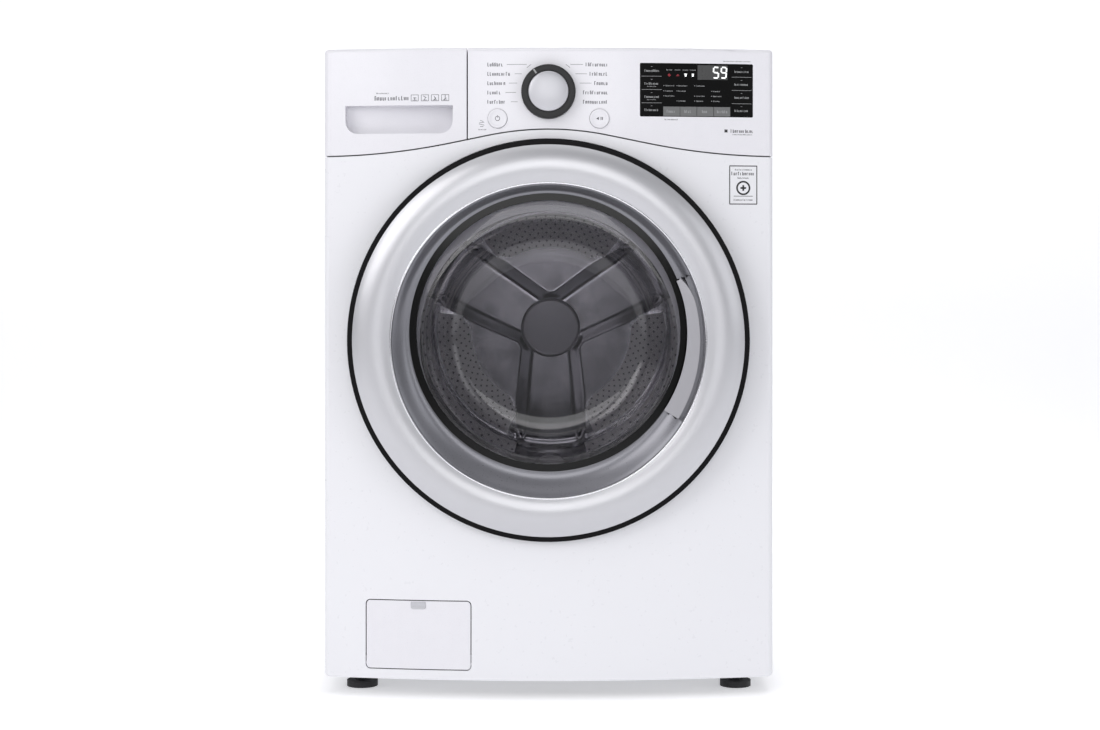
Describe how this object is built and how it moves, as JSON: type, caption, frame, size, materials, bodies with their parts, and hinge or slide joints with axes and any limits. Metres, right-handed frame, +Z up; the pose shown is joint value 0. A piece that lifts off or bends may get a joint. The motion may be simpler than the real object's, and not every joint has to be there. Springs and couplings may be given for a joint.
{
  "type": "front load washing machine",
  "caption": "Free-standing front load washing machine with a round glass door, detergent drawer, programme knob, display and a suspended drum.",
  "frame": {"origin": "on the floor, under the middle of the overall box", "axes": "+X to the right as seen from the front, +Y to the rear, +Z up; the door faces -Y"},
  "size_m": [0.686, 0.77, 0.983],
  "materials": {
    "white_steel": "gloss white enamel",
    "side_steel": "satin white enamel",
    "galvanised": "zinc coated sheet",
    "white_plastic": "gloss white",
    "grey_plastic": "fine matt",
    "dark_plastic": "fine matt",
    "display_black": "polished smoked",
    "silver_plastic": "metallic silver lacquer",
    "bezel_plastic": "metallic grey lacquer",
    "black_plastic": "gloss black",
    "smoked_glass": "smoked",
    "stainless": "stainless",
    "cast_aluminium": "as cast",
    "steel": "machined",
    "copper_winding": "enamelled winding",
    "concrete": "cast",
    "grey_rubber": "soft",
    "black_rubber": "soft",
    "tub_plastic": "glass filled",
    "circuit_board": "solder mask",
    "blue_plastic": "matt"
  },
  "bodies": {
    "cabinet": {"base_frame": "galvanised", "cabinet_shell": "side_steel", "front_panel": "white_steel", "top_panel": "white_plastic", "control_fascia": "white_plastic", "rear_cover": "galvanised", "frame_braces": "galvanised", "levelling_feet": "black_rubber", "foot_locknuts": "steel", "transit_bolt_caps": "grey_plastic", "power_cord_gland": "black_rubber", "display_window": "display_black", "control_board": "circuit_board", "lcd_module": "dark_plastic", "knob_encoder": "dark_plastic", "main_control_unit": "dark_plastic", "drawer_housing": "grey_plastic", "inlet_valves": "blue_plastic", "inlet_pipes": "grey_plastic", "drain_pump": "dark_plastic", "drain_pipe": "grey_plastic", "door_lock": "white_plastic", "hinge_bracket": "steel", "pressure_switch": "dark_plastic", "damper_cylinders": "dark_plastic", "door_gasket": "grey_rubber", "suspension_springs": "steel", "sump_hose": "black_rubber", "dispenser_hose": "black_rubber"},
    "door": {"door_trim_ring": "black_plastic", "door_ring": "silver_plastic", "door_bezel": "bezel_plastic", "door_handle": "silver_plastic", "door_glass": "smoked_glass", "door_inner_frame": "grey_plastic", "door_hinge_plate": "steel", "door_hook": "steel"},
    "drawer": {"drawer_tray": "grey_plastic", "drawer_front": "white_plastic", "siphon_caps": "blue_plastic"},
    "knob": {"program_knob": "dark_plastic", "knob_cap": "silver_plastic"},
    "power_key": {"power_button": "white_plastic"},
    "start_key": {"start_button": "white_plastic"},
    "flap": {"filter_flap": "white_plastic"},
    "filter": {"drain_filter": "grey_plastic"},
    "impeller": {"pump_impeller": "dark_plastic"},
    "tub": {"tub_rear": "tub_plastic", "tub_front": "tub_plastic", "counterweights": "concrete", "drum_bearings": "steel", "shaft_seal": "black_rubber", "motor_stator": "copper_winding", "heater": "steel", "damper_rods": "steel"},
    "drum": {"drum_shell": "stainless", "drum_back": "stainless", "drum_lifters": "grey_plastic", "drum_spider": "cast_aluminium", "drum_shaft": "steel"}
  },
  "joints": [
    {"name": "door_hinge", "type": "hinge", "parent": "cabinet", "child": "door", "pos_m": [-0.283, -0.354, 0.54], "axis": [0, 0, -1], "range_deg": [0, 120]},
    {"name": "drawer_slide", "type": "slide", "parent": "cabinet", "child": "drawer", "axis": [0, -1, 0], "range_m": [0, 0.25]},
    {"name": "program_knob_turn", "type": "hinge", "parent": "cabinet", "child": "knob", "pos_m": [0, -0.36, 0.915], "axis": [0, -1, 0], "continuous": true},
    {"name": "power_button_press", "type": "slide", "parent": "cabinet", "child": "power_key", "axis": [0, 1, 0], "range_m": [0, 0.0025], "stiffness_N_per_m": 800, "springref_m": -0.0005},
    {"name": "start_button_press", "type": "slide", "parent": "cabinet", "child": "start_key", "axis": [0, 1, 0], "range_m": [0, 0.0025], "stiffness_N_per_m": 800, "springref_m": -0.0005},
    {"name": "filter_flap_hinge", "type": "hinge", "parent": "cabinet", "child": "flap", "pos_m": [-0.1975, -0.33758, 0.049], "axis": [0.9932, -0.1164, 0], "range_deg": [0, 90]},
    {"name": "drain_filter_turn", "type": "hinge", "parent": "cabinet", "child": "filter", "pos_m": [-0.1975, -0.3, 0.0925], "axis": [0, -1, 0], "range_deg": [0, 90]},
    {"name": "pump_spin", "type": "hinge", "parent": "cabinet", "child": "impeller", "pos_m": [-0.1975, -0.17, 0.0925], "axis": [0, -1, 0], "continuous": true},
    {"name": "tub_suspension", "type": "slide", "parent": "cabinet", "child": "tub", "axis": [0, 0, 1], "range_m": [-0.01, 0.01], "stiffness_N_per_m": 12000, "springref_m": 0.0403, "deforming": ["suspension_springs", "door_gasket", "sump_hose", "dispenser_hose"]},
    {"name": "drum_spin", "type": "hinge", "parent": "tub", "child": "drum", "pos_m": [0, 0, 0.54], "axis": [0, -1, 0], "continuous": true}
  ]
}
